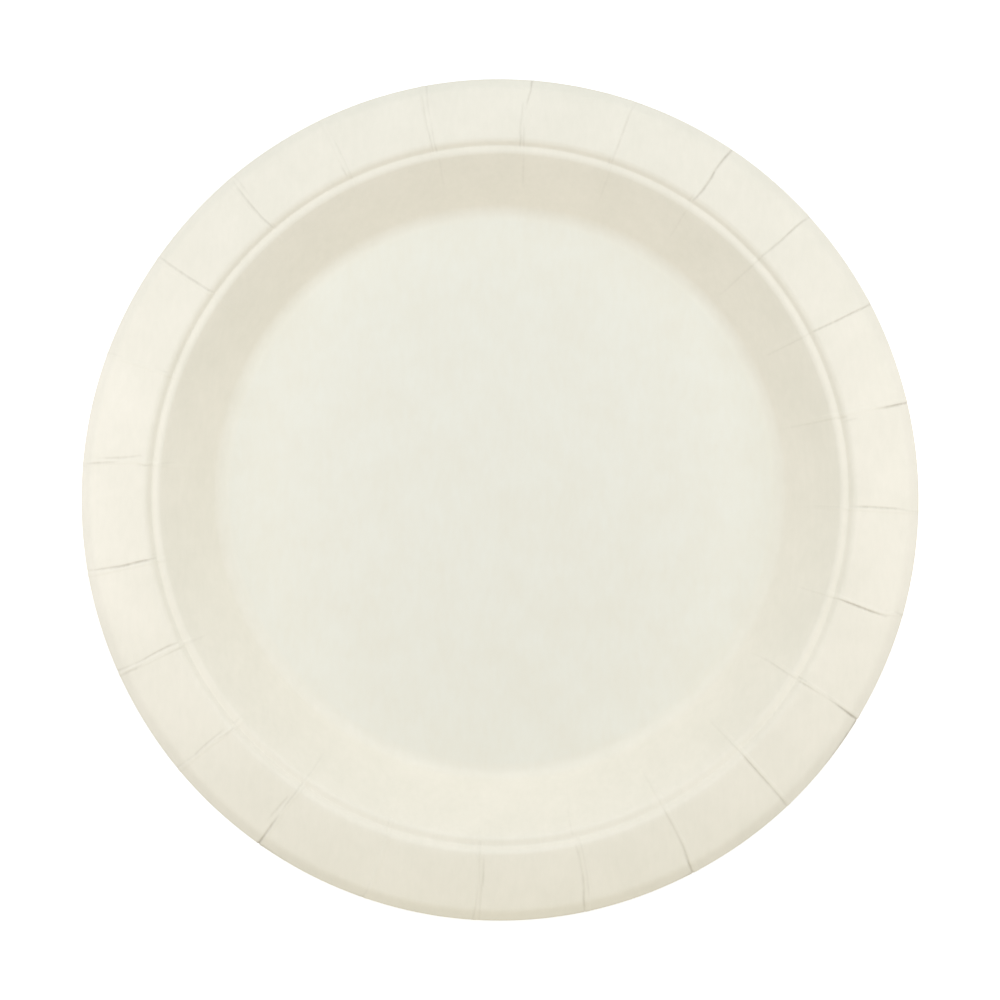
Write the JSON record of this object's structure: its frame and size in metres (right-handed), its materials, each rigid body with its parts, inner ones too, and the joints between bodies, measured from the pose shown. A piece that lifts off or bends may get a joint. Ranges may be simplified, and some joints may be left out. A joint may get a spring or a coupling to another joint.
{
  "type": "paper plate",
  "caption": "Round pressed paperboard plate with a flat floor, sloping wall, stepped brim, rolled-down lip and radial pleats round the rim.",
  "frame": {"origin": "centre of the underside of the flat floor, which the plate rests on", "axes": "+Z along the plate's axis, up out of the dish; +Y is the side that is at the top of the picture"},
  "size_m": [0.2304, 0.2304, 0.0178],
  "materials": {
    "paperboard": "matt clay-coated cream paperboard"
  },
  "bodies": {
    "root": {"plate": "paperboard"}
  },
  "joints": []
}
